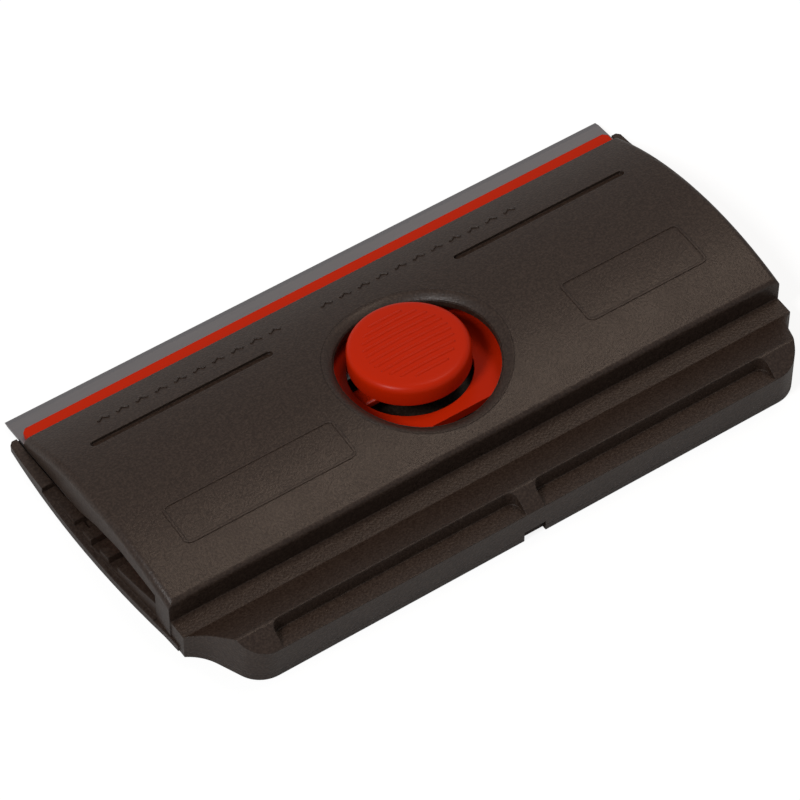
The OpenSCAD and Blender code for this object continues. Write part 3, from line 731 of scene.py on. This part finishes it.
@dataclass
class SprungBar:
    """The red bar across the tool, whose middle gives way when the button is pressed; here all
    three parts ride on the carrier.
    """

    plane: SlidePlane
    arm_x: float = 21.5
    reach: float = 60.0
    low: float = -2.77
    keep: float = 0.46

    def part(self, name: str, source: bpy.types.Object, first_x: float,
             last_x: float) -> bpy.types.Object:
        """The closed part of the bar between two places along X.

        Args:
            name: Name of the piece.
            source: The whole bar.
            first_x: Where the part starts, in mm.
            last_x: Where the part ends, in mm.

        Returns:
            The piece.
        """
        mesh = source.data.copy()
        mesh.name = name
        mesh.transform(source.matrix_world)
        shape = bmesh.new()
        shape.from_mesh(mesh)
        bmesh.ops.remove_doubles(shape, verts=shape.verts, dist=WELD_MM * MM)
        for place, out in ((first_x, -1.0), (last_x, 1.0)):
            bmesh.ops.bisect_plane(
                shape, geom=[*shape.verts, *shape.edges, *shape.faces],
                plane_co=(place * MM, 0.0, 0.0), plane_no=(out, 0.0, 0.0), clear_outer=True)
            open_edges = [edge for edge in shape.edges if edge.is_boundary]
            if open_edges:
                bmesh.ops.holes_fill(shape, edges=open_edges, sides=0)
        bmesh.ops.triangulate(shape, faces=shape.faces)
        bmesh.ops.recalc_face_normals(shape, faces=shape.faces)
        shape.to_mesh(mesh)
        shape.free()
        shade_by_angle(mesh)
        piece = finish_piece(add_object(name, mesh), Body.CARRIER, RED)
        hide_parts("lock_bar")
        return piece

    def build(self, bar: bpy.types.Object) -> None:
        """Makes two stiff ends and the middle part of the bar, all three on the carrier.

        Args:
            bar: The solid of the whole bar.
        """
        self.part("lock_bar_left", bar, -self.reach, -self.arm_x)
        self.part("lock_bar_right", bar, self.arm_x, self.reach)
        middle = self.part("lock_bar_middle", bar, -self.arm_x, self.arm_x)
        place = self.plane.matrix()
        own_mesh(middle)


@dataclass
class SolidsDress:
    """The finishes of the solids that show as they are."""

    finishes: dict[str, Finish] = field(default_factory=lambda: {
        finish.slot: finish for finish in (BLACK, RED, BLADE, PLATED)})

    def build(self, nodes: dict[str, bpy.types.Object]) -> None:
        """Fills each solid's material slots.

        Args:
            nodes: The solids by name.
        """
        for name, solid in nodes.items():
            for place, old in enumerate(solid.data.materials):
                slot = old.name.split(".")[0]
                solid.data.materials[place] = self.finishes[slot].material()
                LOG.info("%s gets %s", name, slot)


@dataclass(frozen=True)
class Lamp:
    """A square soft lamp that points at the object, in metres and watts."""

    name: str
    spot: tuple[float, float, float]
    side: float
    watts: float
    colour: Colour = (1.0, 1.0, 1.0)

    def build(self) -> None:
        """Puts the lamp in the scene."""
        light = bpy.data.lights.new(self.name, "AREA")
        light.shape = "SQUARE"
        light.size = self.side
        light.energy = self.watts
        light.color = self.colour
        made = bpy.data.objects.new(self.name, light)
        made.location = self.spot
        made.rotation_euler = Vector(self.spot).to_track_quat("Z", "Y").to_euler()
        bpy.context.scene.collection.objects.link(made)


@dataclass
class Studio:
    """Pale floor, white surroundings, soft lamps and the camera."""

    azimuth: float = -33.87
    elevation: float = 51.54
    distance: float = 583.5
    pixels_per_mm: float = 7.209
    frame_px: float = 800.0
    off_right: float = 2.66
    off_up: float = -0.11
    sensor: float = 36.0
    floor_white: float = 0.6
    floor_share: float = 0.7
    floor_glow: float = 1.23
    floor_side: float = 3.0
    floor_drop_mm: float = 0.05
    ambient: float = 0.36
    near_mm: float = 10.0
    far: float = 20.0
    lamps: tuple[Lamp, ...] = (
        Lamp("left lamp", (-0.62, -0.12, 0.72), 0.22, 5.0),
        Lamp("sheen lamp", (0.35, 0.15, 0.93), 0.28, 1.9, (1.0, 0.8, 0.64)))

    def white_surroundings(self) -> None:
        """A world that is white to the camera and soft to the object."""
        world = bpy.data.worlds.new("studio")
        world.use_nodes = True
        net = Net(world.node_tree)
        strength = self.ambient + self._seen(net) * (1.0 - self.ambient)
        sky = net.wire("ShaderNodeBackground", inputs={"Color": WHITE, "Strength": strength})
        net.node("ShaderNodeOutputWorld", inputs={"Surface": sky})
        bpy.context.scene.world = world

    @staticmethod
    def _seen(net: Net) -> Wire:
        """1 for a ray from the camera or through glass, otherwise 0."""
        path = net.node("ShaderNodeLightPath")
        return net.math("MAXIMUM", *(Wire(net, path.outputs[name]) for name in
                                     ("Is Camera Ray", "Is Transmission Ray")))

    def floor(self) -> None:
        """A large floor that looks white and keeps the shadow."""
        shape = bmesh.new()
        bmesh.ops.create_grid(shape, x_segments=1, y_segments=1, size=self.floor_side)
        mesh = bpy.data.meshes.new("floor")
        shape.to_mesh(mesh)
        shape.free()
        material = bpy.data.materials.new("pale floor")
        material.use_nodes = True
        net = Net(material.node_tree)
        grey = (self.floor_white,) * 3 + (1.0,)
        matt = net.wire("ShaderNodeBsdfDiffuse", inputs={"Color": grey})
        glow = net.wire("ShaderNodeEmission", inputs={"Color": WHITE, "Strength": self.floor_glow})
        both = net.wire("ShaderNodeMixShader", inputs={
            0: self._seen(net) * self.floor_share, 1: matt, 2: glow})
        net.node("ShaderNodeOutputMaterial", inputs={"Surface": both})
        mesh.materials.append(material)
        ground = add_object("floor", mesh)
        ground.location.z = -self.floor_drop_mm * MM

    def camera(self) -> None:
        """The camera, where a fit to the reference view puts it."""
        turn, tilt = math.radians(-self.azimuth), math.radians(self.elevation)
        back = Vector((-math.sin(turn) * math.cos(tilt), -math.cos(turn) * math.cos(tilt),
                       math.sin(tilt)))
        right = Vector((math.cos(turn), -math.sin(turn), 0.0))
        up = back.cross(right)
        data = bpy.data.cameras.new("camera")
        data.sensor_width = self.sensor
        data.lens = self.pixels_per_mm * self.distance * self.sensor / self.frame_px
        data.clip_start = self.near_mm * MM
        data.clip_end = self.far
        made = bpy.data.objects.new("camera", data)
        basis = Matrix((right, up, back)).transposed().to_4x4()
        place = back * self.distance - right * self.off_right - up * self.off_up
        made.matrix_world = Matrix.Translation(place * MM) @ basis
        bpy.context.scene.collection.objects.link(made)
        bpy.context.scene.camera = made

    def build(self) -> None:
        """Sets up the whole studio."""
        self.white_surroundings()
        self.floor()
        for lamp in self.lamps:
            lamp.build()
        self.camera()
        bpy.context.scene.view_settings.view_transform = "Standard"


def main() -> None:
    """Loads the frame, dresses it and sets up the studio."""
    logging.basicConfig(level=logging.INFO, format="%(name)s: %(message)s")
    for leftover in list(bpy.data.objects):
        bpy.data.objects.remove(leftover)
    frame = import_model()
    arch = Arch()
    plane = SlidePlane()
    SolidsDress().build(frame["nodes"])
    ThumbButton(plane).build()
    SprungBar(plane).build(frame["nodes"]["lock_bar"])
    MouldedMarks(arch).build()
    DishCollar(arch).build()
    Studio().build()


if __name__ == "__main__":
    main()
